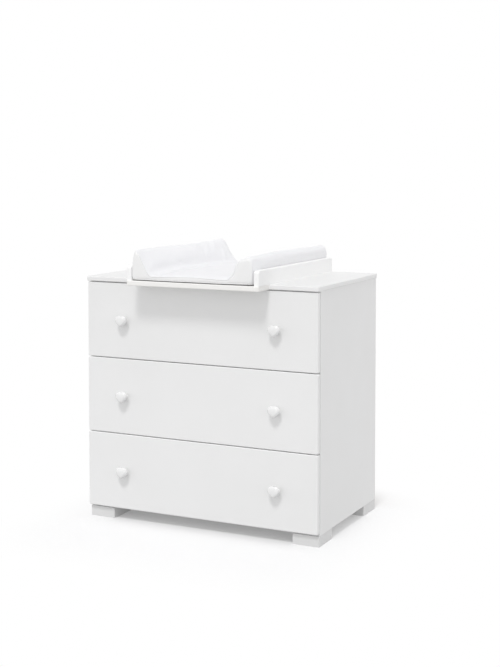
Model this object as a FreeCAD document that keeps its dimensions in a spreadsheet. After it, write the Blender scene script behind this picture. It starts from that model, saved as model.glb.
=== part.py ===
import FreeCAD, Part
import math
import os
import re
import Sketcher
from FreeCAD import Placement, Rotation, Vector

# A changing dresser: a chest of three wide drawers on block feet, with a changing tray that lifts
# off its top and a changing mat that lies in the tray. Millimetres, +Z up, the drawers face -Y.
# The origin is the centre of the whole thing's footprint, on the floor.

DRAWERS = 3
SIDES = {"left": -1, "right": 1}

# ---------------------------------------------------------------------------------------------
# Driving dimensions: each one is set once, here, and can be changed by itself.
SIZES = {
    # chest
    "case_width": (920, "outside of one side panel to outside of the other, and width of the fronts"),
    "case_depth": (535, "front edge to back edge of a side panel"),
    "panel_thickness": (18, "side, top and bottom panels and the top rails"),
    "panel_edge_radius": (1.2, "eased edges of the side panels"),
    "top_overhang_front": (5, "top panel in front of the drawer fronts"),
    "top_overhang_side": (4, "top panel outside a side panel"),
    "top_overhang_back": (5, "top panel behind the side panels"),
    "top_corner_radius": (10, "corners of the top panel, seen from above"),
    "top_edge_radius": (4, "round edges of the top panel"),
    "top_rail_depth": (80, "front to back width of a rail under the top panel"),
    "back_thickness": (4, "back panel"),
    "back_inset": (10, "back panel's rear face in from the rear edges of the side panels"),
    "back_groove_depth": (8, "groove in the side panels that holds the back panel"),
    "fit_clearance": (0.2, "play of a panel in its groove and of a fastener in its hole"),
    # feet
    "foot_height": (38, "block foot"),
    "foot_width": (100, "block foot along the front"),
    "foot_depth": (116, "block foot, front to back"),
    "foot_inset": (0.5, "outer face of a foot in from the side panel's outer face"),
    "foot_lead": (7.5, "front feet in front of the side panels' front edges"),
    "foot_edge_radius": (2.5, "round upright edges of a foot"),
    "foot_rim_radius": (1.2, "eased upper edges of a foot"),
    "foot_screw_spacing": (50, "the two screws of one foot"),
    "foot_screw_diameter": (5, "shank"),
    "foot_screw_length": (44, "whole screw, with its head"),
    "foot_screw_head": (9, "diameter of the head"),
    # knock-down fittings
    "cam_diameter": (15, "cam lock"),
    "cam_depth": (12.5, "cam lock"),
    "cam_setback": (34, "centre of a cam lock from the end of its panel"),
    "cam_bolt_diameter": (6, "bolt that a cam lock pulls"),
    "cam_bolt_grip": (11, "length of a cam bolt inside the panel that it holds"),
    "cam_row": (150, "row of cams in from the front and back edges of the side panels"),
    "dowel_diameter": (8, "wooden dowel"),
    "dowel_length": (30, "wooden dowel"),
    "dowel_reach": (12, "part of a dowel that is inside the outer panel"),
    "dowel_row": (52, "row of dowels in from the front and back edges of the side panels"),
    "rail_dowel_offset": (24, "dowel beside the cam at a rail's end"),
    # drawer fronts
    "front_height": (275, "one drawer front"),
    "front_thickness": (18, "drawer front"),
    "front_gap": (2.5, "gap above each drawer front"),
    "front_lift": (7, "lowest front's bottom edge above the chest's bottom"),
    "front_standoff": (4, "gap between a closed front and the chest's front edges"),
    "front_corner_radius": (6, "corners of a drawer front, seen from the front"),
    "front_edge_radius": (3.5, "round edges of a drawer front's outer face"),
    # drawer boxes
    "box_height": (190, "drawer side"),
    "box_thickness": (12, "drawer sides and back"),
    "box_bottom_thickness": (4, "drawer bottom"),
    "box_bottom_lift": (12, "underside of the drawer bottom above the lower edge of the sides"),
    "box_groove_depth": (6, "groove that holds the drawer bottom"),
    # runners
    "runner_lift": (25, "runner's lowest face above the bottom edge of its drawer's front"),
    "runner_length": (450, "cabinet member, and drawer member with the drawer side on it"),
    "runner_setback": (3, "cabinet member in from the front edge of the side panel"),
    "runner_space": (12.5, "side panel to drawer side"),
    "runner_wall": (1.2, "steel strip of the runners"),
    "runner_play": (0.8, "free space between the moving steel edges"),
    "roller_diameter": (22, "nylon roller"),
    "roller_side_play": (1.1, "roller to the steel of the member that rolls on it"),
    "roller_play": (0.3, "free space over or under a roller"),
    "roller_inset": (14, "roller's centre in from the end of its member"),
    "axle_diameter": (5, "rivet that a roller turns on"),
    "axle_play": (0.06, "radial play of a roller on its rivet"),
    "runner_screw_inset": (60, "first and last screw in from the ends of a cabinet member"),
    "runner_screw_diameter": (3.5, "shank"),
    "runner_screw_length": (14, "shank inside and behind the steel"),
    "runner_screw_head": (7, "diameter of the head"),
    "runner_screw_head_height": (1.2, "head"),
    # knobs
    "knob_inset": (155, "knob's centre in from the end of its front"),
    "knob_width": (47, "heart"),
    "knob_height": (41, "heart, from the top of the lobes to the tip"),
    "knob_thickness": (21, "heart, back to front"),
    "knob_neck_length": (12, "neck between the front and the heart"),
    "knob_neck_diameter": (17, "neck"),
    "knob_screw_diameter": (4, "machine screw through the front"),
    "knob_screw_grip": (19, "length of the screw inside the knob"),
    "knob_screw_head": (9, "diameter of the head"),
    "knob_screw_head_height": (2.5, "head"),
    # changing tray
    "tray_offset": (20, "tray's centre to the right of the chest's centre"),
    "tray_reach": (88, "side rails in front of the drawer fronts"),
    "tray_rail_thickness": (20, "side rail"),
    "tray_rail_height": (54, "side rail above the top panel"),
    "tray_rail_corner": (12, "round upper corners of a side rail, seen from the side"),
    "tray_rail_edge": (4, "round upper edges of a side rail"),
    "tray_board_thickness": (18, "front board"),
    "tray_board_lead": (5, "front board in front of the rails' ends"),
    "tray_board_gap": (0.5, "front board to the top panel's front edge"),
    "tray_board_corner": (10, "front corners of the front board, seen from above"),
    "tray_board_edge": (3, "round edges of the front board"),
    "batten_thickness": (12, "back batten, front to back"),
    "batten_height": (16, "back batten"),
    "tray_screw_diameter": (4, "shank"),
    "tray_screw_grip": (25, "length of a screw inside the rail"),
    "tray_screw_head": (8, "diameter of the head"),
    "tray_screw_head_height": (3, "head, let into the front board"),
    "tray_screw_inset": (22, "outer screw in from the front board's front edge"),
    "tray_screw_spacing": (42, "the two screws of one rail"),
    # changing mat
    "mat_left_gap": (1, "mat to the left rail"),
    "mat_right_gap": (4, "mat to the right rail"),
    "mat_end_gap": (1, "mat to the back batten"),
    "mat_rest_gap": (0.3, "mat to the boards that it lies on"),
    "mat_seam_gap": (0.3, "middle of the mat to a bolster"),
    "mat_width": (475, "whole mat"),
    "mat_thickness": (22, "middle of the mat"),
    "mat_crown": (3, "rise of the middle of the mat over its own edges"),
    "mat_lip": (9, "thickness of the mat at its sewn ends"),
    "mat_end_taper": (34, "length over which the mat thins towards its sewn ends"),
    "bolster_width": (84, "foot of a bolster, from the rail to the middle of the mat"),
    "bolster_height": (102, "ridge of a bolster above the boards"),
    "bolster_ridge": (24, "ridge of a bolster in from its outer face"),
    "bolster_ridge_radius": (11, "soft round of the ridge"),
    "bolster_slope_crown": (5, "swell of a bolster's slope"),
    "bolster_end_drop": (6, "fall of the ridge at its two ends"),
}

# Places that follow from the driving dimensions.
PLACES = {
    "chest_depth": "front_thickness + front_standoff + case_depth + top_overhang_back",
    "front_plane": "(tray_reach + tray_board_lead - chest_depth) / 2",
    "front_back": "front_plane + front_thickness",
    "case_front": "front_back + front_standoff",
    "case_back": "case_front + case_depth",
    "side_outer": "case_width / 2",
    "side_inner": "side_outer - panel_thickness",
    "side_middle": "side_outer - panel_thickness / 2",
    "floor_top": "foot_height + panel_thickness",
    "fronts_bottom": "foot_height + front_lift",
    "front_pitch": "front_height + front_gap",
    "top_underside": f"fronts_bottom + {DRAWERS} * front_pitch",
    "top_surface": "top_underside + panel_thickness",
    "top_front": "front_plane - top_overhang_front",
    "top_back": "case_back + top_overhang_back",
    "rail_underside": "top_underside - panel_thickness",
    "back_panel_rear": "case_back - back_inset",
    "back_panel_front": "back_panel_rear - back_thickness",
    "front_rail_middle": "case_front + top_rail_depth / 2",
    "back_rail_middle": "back_panel_front - top_rail_depth / 2",
    "box_outer": "side_inner - runner_space",
    "box_inner": "box_outer - box_thickness",
    "runner_front": "case_front + runner_setback",
    "runner_back": "runner_front + runner_length",
    "box_back": "front_back + runner_length",
    "roller_centre": "runner_wall + roller_play + roller_diameter / 2",
    "track_underside": "roller_centre + roller_diameter / 2 + runner_play + roller_play",
    "front_roller_centre": "track_underside - roller_play - roller_diameter / 2",
    "channel_height": "track_underside + 3 * runner_wall + runner_play",
    "roller_near": "runner_wall + runner_screw_head_height + runner_play",
    "roller_far": "runner_space - runner_wall - roller_side_play",
    "tray_width": "mat_width + mat_left_gap + mat_right_gap + 2 * tray_rail_thickness",
    "tray_left": "tray_offset - tray_width / 2",
    "tray_right": "tray_offset + tray_width / 2",
    "tray_back": "top_back",
    "tray_front": "front_plane - tray_reach",
    "board_front": "tray_front - tray_board_lead",
    "board_back": "top_front - tray_board_gap",
    "board_underside": "top_surface - tray_board_thickness",
    "batten_front": "tray_back - batten_thickness",
    "mat_left": "tray_left + tray_rail_thickness + mat_left_gap",
    "mat_front": "tray_front",
    "mat_back": "batten_front - mat_end_gap",
    "mat_underside": "top_surface + mat_rest_gap",
}

doc = FreeCAD.newDocument("ChangingDresser")
sheet = doc.addObject("Spreadsheet::Sheet", "Sizes")
for row, (size_name, (size, meaning)) in enumerate(SIZES.items(), start=1):
    sheet.set(f"A{row}", meaning)
    sheet.set(f"B{row}", str(size))
    sheet.setAlias(f"B{row}", size_name)
doc.recompute()

nodes = []


# ---------------------------------------------------------------------------------------------
# Ways to make the pieces

def expand(text):
    """Turn a sum of named sizes and places into an expression on the sheet."""
    def swap(found):
        word = found.group(0)
        if word in PLACES:
            return f"({expand(PLACES[word])})"
        return f"Sizes.{word}" if word in SIZES else word
    return re.sub(r"[a-z][a-z_]*", swap, text)


def value(text):
    return float(sheet.evalExpression(expand(text)))


def bind(item, name, text):
    item.setExpression(name, expand(text))


def put(item, corner, rotation=None):
    if rotation is not None:
        item.Placement = Placement(Vector(), rotation)
    for axis, text in zip("xyz", corner):
        bind(item, f"Placement.Base.{axis}", text)


def node(item, name):
    """Name a finished piece; it is written to its own file at the end."""
    item.Label = name
    nodes.append(item)
    return item


def mirrored(side, low, high):
    """The span from low to high, counted from the middle of the chest towards one side."""
    return (low, high) if side > 0 else (f"-({high})", f"-({low})")


def slab(name, xs, ys, zs):
    """A square-edged board between three pairs of places."""
    solid = doc.addObject("Part::Box", name)
    for side, (low, high) in zip(("Length", "Width", "Height"), (xs, ys, zs)):
        bind(solid, side, f"({high}) - ({low})")
    put(solid, (xs[0], ys[0], zs[0]))
    return solid


TURN = {
    "x": Rotation(Vector(0, 1, 0), 90),
    "y": Rotation(Vector(1, 0, 0), -90),
    "z": Rotation(),
}


def rod(name, axis, ends, across, diameter):
    """A round bar along an axis, between two ends, at two places across it."""
    solid = doc.addObject("Part::Cylinder", name)
    bind(solid, "Radius", f"({diameter}) / 2")
    bind(solid, "Height", f"({ends[1]}) - ({ends[0]})")
    start = list(across)
    start.insert("xyz".index(axis), ends[0])
    put(solid, start, TURN[axis])
    return solid


def joined(name, parts):
    whole = doc.addObject("Part::MultiFuse", name)
    whole.Shapes = parts
    whole.Refine = True
    return whole


def cut(name, base, tool):
    rest = doc.addObject("Part::Cut", name)
    rest.Base = base
    rest.Tool = tool
    return rest


def group(name, parts):
    """Like pieces that stay separate solids under one name."""
    several = doc.addObject("Part::Compound", name)
    several.Links = parts
    return several


def origin_plane(body, role):
    return next(f for f in body.Origin.OriginFeatures if f.Role == role)


def rectangle(sketch, width, depth):
    """A rectangle from the sketch's origin, with its two sides bound to sizes."""
    across, along = value(width), value(depth)
    corners = [Vector(0, 0), Vector(across, 0), Vector(across, along), Vector(0, along)]
    for start, end in zip(corners, corners[1:] + corners[:1]):
        sketch.addGeometry(Part.LineSegment(start, end))
    for line in range(4):
        sketch.addConstraint(Sketcher.Constraint("Coincident", line, 2, (line + 1) % 4, 1))
    for line, way in enumerate(("Horizontal", "Vertical", "Horizontal", "Vertical")):
        sketch.addConstraint(Sketcher.Constraint(way, line))
    sketch.addConstraint(Sketcher.Constraint("Coincident", 0, 1, -1, 1))
    for line, (kind, text) in enumerate((("DistanceX", width), ("DistanceY", depth))):
        index = sketch.addConstraint(Sketcher.Constraint(kind, line, 1, line, 2, value(text)))
        bind(sketch, f"Constraints[{index}]", text)


def flat_on(edge, axis, place):
    """Whether an edge lies wholly in the plane across an axis at a place."""
    low = getattr(edge.BoundBox, f"{axis.upper()}Min")
    high = getattr(edge.BoundBox, f"{axis.upper()}Max")
    return abs(low - place) < 0.01 and abs(high - place) < 0.01


def runs_along(edge, axis):
    spans = {"x": edge.BoundBox.XLength, "y": edge.BoundBox.YLength, "z": edge.BoundBox.ZLength}
    length = spans.pop(axis)
    return length > 0.01 and max(spans.values()) < 0.01


def rounded(body, name, radius, wanted):
    """Round the edges of a body that a test picks out."""
    doc.recompute()
    base = body.Tip
    edges = [f"Edge{i}" for i, edge in enumerate(base.Shape.Edges, start=1) if wanted(edge)]
    fillet = body.newObject("PartDesign::Fillet", name)
    fillet.Base = (base, edges)
    bind(fillet, "Radius", radius)
    body.Tip = fillet
    return fillet


def board(name, xs, ys, zs):
    """A panel sawn from sheet: a rectangle on the floor plane, padded upwards, then put in place."""
    body = doc.addObject("PartDesign::Body", name)
    sketch = body.newObject("Sketcher::SketchObject", f"{name}_outline")
    sketch.AttachmentSupport = [(origin_plane(body, "XY_Plane"), "")]
    sketch.MapMode = "FlatFace"
    rectangle(sketch, f"({xs[1]}) - ({xs[0]})", f"({ys[1]}) - ({ys[0]})")
    pad = body.newObject("PartDesign::Pad", f"{name}_pad")
    pad.Profile = sketch
    bind(pad, "Length", f"({zs[1]}) - ({zs[0]})")
    body.Tip = pad
    put(body, (xs[0], ys[0], zs[0]))
    return body


def shaped(name, shape):
    """A soft or swelling piece whose shape is worked out point by point."""
    piece = doc.addObject("Part::Feature", name)
    piece.Shape = shape
    return piece


# ---------------------------------------------------------------------------------------------
# Knock-down fittings of the chest. A cam lock sits in a round pocket near a panel's end, a bolt
# runs from the lock into the next panel, and dowels beside it stop the joint from turning. The
# pockets and holes in the panels come from the same fittings, a little larger.

cam_locks = []
cam_bolts = []
dowels = []
holes = []


def cam_joint(name, lock_axis, lock_ends, lock_at, bolt_axis, bolt_ends, bolt_at):
    lock = rod(f"{name}_lock", lock_axis, lock_ends, lock_at, "cam_diameter")
    bolt = rod(f"{name}_bolt", bolt_axis, bolt_ends, bolt_at, "cam_bolt_diameter")
    slot = rod(f"{name}_slot", bolt_axis, bolt_ends, bolt_at, "cam_bolt_diameter + 2 * fit_clearance")
    cam_locks.append(cut(f"{name}_slotted_lock", lock, slot))
    cam_bolts.append(bolt)
    holes.append(slot)
    holes.append(rod(f"{name}_pocket", lock_axis, lock_ends, lock_at,
                     "cam_diameter + 2 * fit_clearance"))


def dowel(name, axis, ends, across):
    dowels.append(rod(name, axis, ends, across, "dowel_diameter"))
    holes.append(rod(f"{name}_hole", axis, ends, across, "dowel_diameter + 2 * fit_clearance"))


CAM_ROWS = {"front": "case_front + cam_row", "back": "case_back - cam_row"}
DOWEL_ROWS = {"front": "case_front + dowel_row", "back": "case_back - dowel_row"}
RAILS = {"front": "front_rail_middle", "back": "back_rail_middle"}


def fit_panel_end(name, side, row, underside, dowel_rows):
    """Join one end of a level panel to a side panel."""
    level = f"{underside} + panel_thickness / 2"
    lock_middle = "side_inner - cam_setback"
    lock_x = lock_middle if side > 0 else f"-({lock_middle})"
    cam_joint(name, "z", (underside, f"{underside} + cam_depth"), (lock_x, row),
              "x", mirrored(side, lock_middle, "side_inner + cam_bolt_grip"), (row, level))
    ends = mirrored(side, "side_inner + dowel_reach - dowel_length", "side_inner + dowel_reach")
    for number, dowel_row in enumerate(dowel_rows):
        dowel(f"{name}_dowel_{number}", "x", ends, (dowel_row, level))


for side_name, side in SIDES.items():
    for end, row in CAM_ROWS.items():
        fit_panel_end(f"floor_{end}_{side_name}", side, row, "foot_height", [DOWEL_ROWS[end]])
    for end, row in RAILS.items():
        fit_panel_end(f"rail_{end}_{side_name}", side, row, "rail_underside",
                      [f"{row} - rail_dowel_offset", f"{row} + rail_dowel_offset"])
    middle = "side_middle" if side > 0 else "-(side_middle)"
    for end, row in CAM_ROWS.items():
        cam_joint(f"top_{end}_{side_name}", "x", mirrored(side, "side_inner", "side_inner + cam_depth"),
                  (row, "top_underside - cam_setback"),
                  "z", ("top_underside - cam_setback", "top_underside + cam_bolt_grip"), (middle, row))
        inward = "+" if end == "front" else "-"
        dowel(f"top_{end}_{side_name}_dowel", "z",
              ("top_underside + dowel_reach - dowel_length", "top_underside + dowel_reach"),
              (middle, f"{row} {inward} rail_dowel_offset"))

node(group("cam_locks", cam_locks), "cam_locks")
node(group("cam_bolts", cam_bolts), "cam_bolts")
node(group("dowels", dowels), "dowels")

# ---------------------------------------------------------------------------------------------
# Feet: solid blocks under the corners of the chest, screwed on from inside through the bottom.

feet = {}
foot_screws = []
for end, near in (("front", "case_front - foot_lead"), ("rear", "case_back - foot_depth")):
    for side_name, side in SIDES.items():
        xs = mirrored(side, "side_outer - foot_inset - foot_width", "side_outer - foot_inset")
        foot = board(f"foot_{end}_{side_name}_block", xs, (near, f"{near} + foot_depth"),
                     ("0", "foot_height"))
        rounded(foot, f"foot_{end}_{side_name}_edges", "foot_edge_radius",
                lambda edge: runs_along(edge, "z"))
        rounded(foot, f"foot_{end}_{side_name}_rim", "foot_rim_radius",
                lambda edge: flat_on(edge, "z", value("foot_height")))
        foot_middle = f"{near} + foot_depth / 2"
        for number, way in enumerate(("-", "+")):
            label = f"foot_screw_{end}_{side_name}_{number}"
            screw_at = (f"({xs[0]}) + foot_width / 2", f"{foot_middle} {way} foot_screw_spacing / 2")
            shank = ("floor_top - foot_screw_length", "floor_top")
            head = ("floor_top - foot_screw_diameter / 2", "floor_top")
            foot_screws.append(joined(label, [
                rod(f"{label}_shank", "z", shank, screw_at, "foot_screw_diameter"),
                rod(f"{label}_head", "z", head, screw_at, "foot_screw_head")]))
            holes.append(rod(f"{label}_hole", "z", shank, screw_at,
                             "foot_screw_diameter + 2 * fit_clearance"))
            holes.append(rod(f"{label}_sink", "z", head, screw_at,
                             "foot_screw_head + 2 * fit_clearance"))
        feet[f"foot_{end}_{side_name}"] = foot

node(group("foot_screws", foot_screws), "foot_screws")

# ---------------------------------------------------------------------------------------------
# Runners: on each side of a drawer a C-shaped steel member is screwed to the side panel and
# carries a nylon roller at its front. The drawer member hooks under the drawer side, rests its
# outward track on that roller, and carries a roller of its own at the back inside the C.

runner_screws = []


def reach(side, low, high):
    """A span counted inwards from a side panel's inner face."""
    return mirrored(side, f"side_inner - ({high})", f"side_inner - ({low})")


def roller(name, side, row, level):
    ends = reach(side, "roller_near", "roller_far")
    return cut(name, rod(f"{name}_rim", "x", ends, (row, level), "roller_diameter"),
               rod(f"{name}_bore", "x", ends, (row, level), "axle_diameter + 2 * axle_play"))


def cabinet_member(name, side, base):
    ys = ("runner_front", "runner_back")
    flange = reach(side, "0", "runner_space - runner_wall - runner_play")
    channel_top = f"{base} + channel_height"
    axle_at = ("runner_front + roller_inset", f"{base} + front_roller_centre")
    parts = [
        slab(f"{name}_web", reach(side, "0", "runner_wall"), ys, (base, channel_top)),
        slab(f"{name}_foot", flange, ys, (base, f"{base} + runner_wall")),
        slab(f"{name}_lid", flange, ys, (f"{channel_top} - runner_wall", channel_top)),
        rod(f"{name}_axle", "x", reach(side, "0", "roller_far + runner_play / 4"), axle_at,
            "axle_diameter"),
    ]
    screw_level = f"{base} + channel_height / 2"
    for number, row in enumerate(("runner_front + runner_screw_inset",
                                  "runner_back - runner_screw_inset")):
        label = f"{name}_screw_{number}"
        shank = reach(side, "runner_wall - runner_screw_length", "runner_wall")
        head = reach(side, "runner_wall", "runner_wall + runner_screw_head_height")
        runner_screws.append(joined(label, [
            rod(f"{label}_shank", "x", shank, (row, screw_level), "runner_screw_diameter"),
            rod(f"{label}_head", "x", head, (row, screw_level), "runner_screw_head")]))
        hole = rod(f"{label}_hole", "x", shank, (row, screw_level),
                   "runner_screw_diameter + 2 * fit_clearance")
        parts[0] = cut(f"{name}_web_{number}", parts[0], hole)
        holes.append(hole)
    return joined(name, parts)


def drawer_member(name, side, base):
    ys = ("front_back", "box_back")
    track = f"{base} + track_underside"
    axle_at = ("box_back - roller_inset", f"{base} + roller_centre")
    return joined(name, [
        slab(f"{name}_web", reach(side, "runner_space - runner_wall", "runner_space"), ys,
             (base, f"{track} + runner_wall")),
        slab(f"{name}_hook", reach(side, "runner_space - runner_wall", "runner_space + box_thickness"),
             ys, (base, f"{base} + runner_wall")),
        slab(f"{name}_track", reach(side, "roller_near", "runner_space"), ys,
             (track, f"{track} + runner_wall")),
        rod(f"{name}_axle", "x", reach(side, "roller_near - runner_play / 4", "runner_space"), axle_at,
            "axle_diameter"),
    ])


# ---------------------------------------------------------------------------------------------
# Knobs: one puffy heart on a short round neck. The heart's outline is two lobes and a tip, and
# it swells from its back to its widest and closes again to a small flat on its face.

# how wide the heart is, as a share of its outline, at shares of its thickness from back to front
HEART_SWELL = ((0, 0.62), (0.12, 0.84), (0.32, 0.97), (0.5, 1), (0.68, 0.96), (0.85, 0.8), (0.96, 0.5),
               (1, 0.24))


def heart_outline(width, height, depth):
    """A heart that stands in the XZ plane, as two side arcs, two lobes and a round tip."""
    lobe = width / 4
    shoulder = height / 2 - lobe
    cleft = Vector(0, depth, height / 2 - lobe * 0.22)
    crown = Vector(lobe * 0.96, depth, height / 2)
    flank = Vector(width / 2, depth, shoulder)
    hip = Vector(width * 0.315, depth, -height * 0.18)
    tip = Vector(width * 0.045, depth, -height * 0.478)
    point = Vector(0, depth, -height / 2)

    def other(p):
        return Vector(-p.x, p.y, p.z)

    return Part.Wire([
        Part.Arc(cleft, crown, flank).toShape(),
        Part.Arc(flank, hip, tip).toShape(),
        Part.Arc(tip, point, other(tip)).toShape(),
        Part.Arc(other(tip), other(hip), other(flank)).toShape(),
        Part.Arc(other(flank), other(crown), cleft).toShape(),
    ])


def knob_shape():
    """A knob at the origin, its neck's flat end on the plane y = 0 and its heart towards -Y."""
    neck_length = value("knob_neck_length")
    thickness = value("knob_thickness")
    rings = [heart_outline(value("knob_width") * swell, value("knob_height") * swell,
                           -neck_length - thickness * share) for share, swell in HEART_SWELL]
    heart = Part.makeLoft(rings, True, False)
    neck = Part.makeCylinder(value("knob_neck_diameter / 2"), neck_length + thickness / 4,
                             Vector(), Vector(0, -1, 0))
    bore = Part.makeCylinder(value("knob_screw_diameter / 2 + fit_clearance"),
                             value("knob_screw_grip"), Vector(), Vector(0, -1, 0))
    return heart.fuse(neck).cut(bore)


# ---------------------------------------------------------------------------------------------
# Drawers: an overlay front, two sides on the runners, a back, and a thin bottom in grooves.

plain_knob = knob_shape()

for number in range(DRAWERS):
    drawer = f"drawer_{number + 1}"
    front_low = f"(fronts_bottom + {number} * front_pitch)"
    front_middle = f"{front_low} + front_height / 2"
    runner_base = f"({front_low} + runner_lift)"
    box_low = f"({runner_base} + runner_wall)"
    box_high = f"({box_low} + box_height)"
    groove = (f"{box_low} + box_bottom_lift",
              f"{box_low} + box_bottom_lift + box_bottom_thickness + fit_clearance")
    groove_reach = "(box_inner + box_groove_depth)"
    groove_slab = slab(f"{drawer}_groove", (f"-{groove_reach}", groove_reach),
                       ("front_back - box_groove_depth", "box_back"), groove)
    knob_screws = []
    screw_holes = []

    for side_name, side in SIDES.items():
        knob_x = "side_outer - knob_inset" if side > 0 else "-(side_outer - knob_inset)"
        knob = shaped(f"{drawer}_knob_{side_name}", plain_knob.copy())
        put(knob, (knob_x, "front_plane", front_middle))
        node(knob, f"{drawer}_knob_{side_name}")
        label = f"{drawer}_knob_screw_{side_name}"
        shank = ("front_plane - knob_screw_grip + fit_clearance", "front_back")
        head = ("front_back", "front_back + knob_screw_head_height")
        knob_screws.append(joined(label, [
            rod(f"{label}_shank", "y", shank, (knob_x, front_middle), "knob_screw_diameter"),
            rod(f"{label}_head", "y", head, (knob_x, front_middle), "knob_screw_head")]))
        screw_holes.append(rod(f"{label}_hole", "y", ("front_plane", "front_back"),
                               (knob_x, front_middle), "knob_screw_diameter + 2 * fit_clearance"))
    node(group(f"{drawer}_knob_screws", knob_screws), f"{drawer}_knob_screws")

    front = board(f"{drawer}_front_blank", ("-side_outer", "side_outer"), ("front_plane", "front_back"),
                  (front_low, f"{front_low} + front_height"))
    rounded(front, f"{drawer}_front_corners", "front_corner_radius",
            lambda edge: runs_along(edge, "y"))
    rounded(front, f"{drawer}_front_edges", "front_edge_radius", lambda edge: flat_on(edge, "y", 0))
    node(cut(f"{drawer}_front", front, joined(f"{drawer}_front_tools", screw_holes + [groove_slab])),
         f"{drawer}_front")

    for side_name, side in SIDES.items():
        name = f"{drawer}_side_{side_name}"
        plain = slab(f"{name}_blank", mirrored(side, "box_inner", "box_outer"),
                     ("front_back", "box_back"), (box_low, box_high))
        node(cut(name, plain, groove_slab), name)
    node(slab(f"{drawer}_back", ("-box_inner", "box_inner"), ("box_back - box_thickness", "box_back"),
              (groove[1], box_high)), f"{drawer}_back")
    bottom_reach = f"({groove_reach} - fit_clearance)"
    node(slab(f"{drawer}_bottom", (f"-{bottom_reach}", bottom_reach),
              ("front_back - box_groove_depth + fit_clearance", "box_back"),
              (groove[0], f"{groove[1]} - fit_clearance")), f"{drawer}_bottom")

    node(group(f"{drawer}_runners", [drawer_member(f"{drawer}_member_{side_name}", side, runner_base)
                                     for side_name, side in SIDES.items()]), f"{drawer}_runners")
    node(group(f"{drawer}_back_rollers", [
        roller(f"{drawer}_back_roller_{side_name}", side, "box_back - roller_inset",
               f"{runner_base} + roller_centre") for side_name, side in SIDES.items()]),
         f"{drawer}_back_rollers")
    node(group(f"{drawer}_cabinet_runners", [
        cabinet_member(f"{drawer}_cabinet_member_{side_name}", side, runner_base)
        for side_name, side in SIDES.items()]), f"{drawer}_cabinet_runners")
    node(group(f"{drawer}_front_rollers", [
        roller(f"{drawer}_front_roller_{side_name}", side, "runner_front + roller_inset",
               f"{runner_base} + front_roller_centre") for side_name, side in SIDES.items()]),
         f"{drawer}_front_rollers")

node(group("runner_screws", runner_screws), "runner_screws")

# ---------------------------------------------------------------------------------------------
# Chest: the side panels stand on the feet, the bottom and two rails tie them together, the top
# lies over them, and the thin back slides in grooves near their rear edges.

back_groove = slab("back_groove", ("-(side_inner + back_groove_depth)", "side_inner + back_groove_depth"),
                   ("back_panel_front", "back_panel_rear + fit_clearance"),
                   ("foot_height", "top_underside"))
fitting_holes = joined("fitting_holes", holes)
side_tools = joined("side_tools", holes + [back_groove])

for side_name, side in SIDES.items():
    panel = board(f"side_panel_{side_name}_blank", mirrored(side, "side_inner", "side_outer"),
                  ("case_front", "case_back"), ("foot_height", "top_underside"))
    outer_place = 0 if side < 0 else value("panel_thickness")
    rounded(panel, f"side_panel_{side_name}_edges", "panel_edge_radius",
            lambda edge, place=outer_place: flat_on(edge, "x", place)
            and (runs_along(edge, "z") or flat_on(edge, "z", 0)))
    node(cut(f"side_panel_{side_name}", panel, side_tools), f"side_panel_{side_name}")

node(cut("bottom_panel", slab("bottom_blank", ("-side_inner", "side_inner"),
                              ("case_front", "back_panel_front"), ("foot_height", "floor_top")),
         fitting_holes), "bottom_panel")
for end, middle in RAILS.items():
    blank = slab(f"top_rail_{end}_blank", ("-side_inner", "side_inner"),
                 (f"{middle} - top_rail_depth / 2", f"{middle} + top_rail_depth / 2"),
                 ("rail_underside", "top_underside"))
    node(cut(f"top_rail_{end}", blank, fitting_holes), f"top_rail_{end}")

back_reach = "(side_inner + back_groove_depth - fit_clearance)"
node(slab("back_panel", (f"-{back_reach}", back_reach), ("back_panel_front", "back_panel_rear"),
          ("foot_height", "top_underside")), "back_panel")

top = board("top_blank", ("-(side_outer + top_overhang_side)", "side_outer + top_overhang_side"),
            ("top_front", "top_back"), ("top_underside", "top_surface"))
rounded(top, "top_corners", "top_corner_radius", lambda edge: runs_along(edge, "z"))
rounded(top, "top_edges", "top_edge_radius", lambda edge: flat_on(edge, "z", value("panel_thickness"))
        or flat_on(edge, "z", 0))
node(cut("top_panel", top, fitting_holes), "top_panel")

for name, block in feet.items():
    node(cut(name, block, fitting_holes), name)

# ---------------------------------------------------------------------------------------------
# Changing tray: two rails lie on the top panel and run out over its front edge, where a board at
# the top panel's own level is screwed up under them; a low batten ties their back ends.

tray_screws = []
tray_holes = []
for side_name, side in SIDES.items():
    xs = (("tray_left", "tray_left + tray_rail_thickness") if side < 0
          else ("tray_right - tray_rail_thickness", "tray_right"))
    for number in range(2):
        label = f"tray_screw_{side_name}_{number}"
        screw_at = (f"({xs[0]}) + tray_rail_thickness / 2",
                    f"board_front + tray_screw_inset + {number} * tray_screw_spacing")
        shank = ("board_underside", "top_surface + tray_screw_grip")
        head = ("board_underside", "board_underside + tray_screw_head_height")
        tray_screws.append(joined(label, [
            rod(f"{label}_shank", "z", shank, screw_at, "tray_screw_diameter"),
            rod(f"{label}_head", "z", head, screw_at, "tray_screw_head")]))
        tray_holes.append(rod(f"{label}_hole", "z", shank, screw_at,
                              "tray_screw_diameter + 2 * fit_clearance"))
        tray_holes.append(rod(f"{label}_sink", "z", head, screw_at,
                              "tray_screw_head + 2 * fit_clearance"))
tray_tools = joined("tray_tools", tray_holes)

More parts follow.
